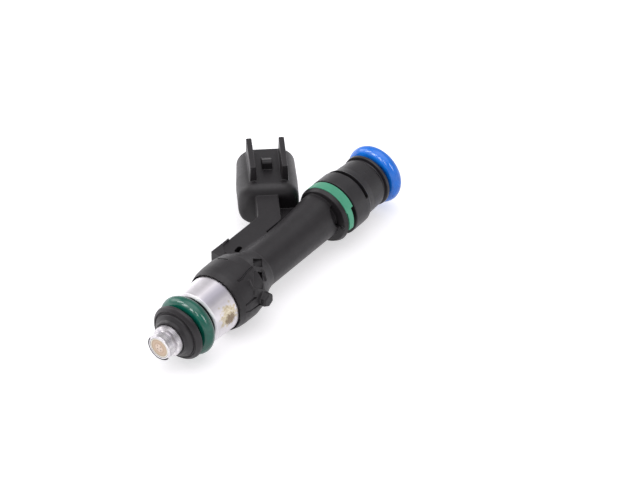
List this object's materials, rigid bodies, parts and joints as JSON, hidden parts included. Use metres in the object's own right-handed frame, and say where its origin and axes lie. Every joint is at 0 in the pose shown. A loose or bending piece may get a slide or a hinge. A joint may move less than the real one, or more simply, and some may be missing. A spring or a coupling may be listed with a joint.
{
  "type": "fuel injector",
  "caption": "Slim electromagnetic port fuel injector with O-rings at both ends, a steel coil housing, a long moulded body and an angled electrical plug shell.",
  "frame": {"origin": "centre of the nozzle tip's front face, on the injector axis", "axes": "+X along the injector axis from the nozzle tip to the fuel inlet, +Y towards the side that carries the electrical plug, +Z towards the ribbed wall of the plug, up when the injector lies on a table"},
  "size_m": [0.0813, 0.0369, 0.0167],
  "materials": {
    "polished_steel": "polished",
    "satin_steel": "satin",
    "pale_gold_steel": "satin",
    "black_plastic": "satin, fine moulded grain",
    "adapter_plastic": "satin",
    "collar_plastic": "satin",
    "support_plastic": "satin",
    "green_rubber": "glossy",
    "blue_rubber": "glossy",
    "seal_rubber": "satin",
    "mint_plastic": "satin",
    "bobbin_plastic": "satin",
    "copper_wire": "enamelled",
    "contact_metal": "satin",
    "brass": "satin",
    "filter_plastic": "satin",
    "filter_gauze": "woven"
  },
  "bodies": {
    "injector": {"valve_sleeve": "polished_steel", "orifice_plate": "pale_gold_steel", "valve_seat": "satin_steel", "guide_ring": "satin_steel", "inner_pole": "satin_steel", "closing_spring": "satin_steel", "adjusting_sleeve": "satin_steel", "magnet_pot": "polished_steel", "coil_bobbin": "bobbin_plastic", "coil_winding": "copper_wire", "flux_washer": "satin_steel", "overmould_body": "black_plastic", "terminal_outer": "contact_metal", "terminal_inner": "contact_metal", "lower_collar": "collar_plastic", "lower_o_ring": "green_rubber", "color_band": "mint_plastic", "fuel_tube": "satin_steel", "inlet_adapter": "adapter_plastic", "adapter_seal": "seal_rubber", "upper_support_ring": "support_plastic", "upper_o_ring": "blue_rubber", "filter_frame": "filter_plastic", "filter_mesh": "filter_gauze", "filter_collar": "brass"},
    "needle": {"valve_ball": "polished_steel", "needle_tube": "satin_steel", "armature": "satin_steel"}
  },
  "joints": [
    {"name": "needle_lift", "type": "slide", "parent": "injector", "child": "needle", "axis": [1, 0, 0], "range_m": [0, 0.00008], "deforming": ["closing_spring"]}
  ]
}
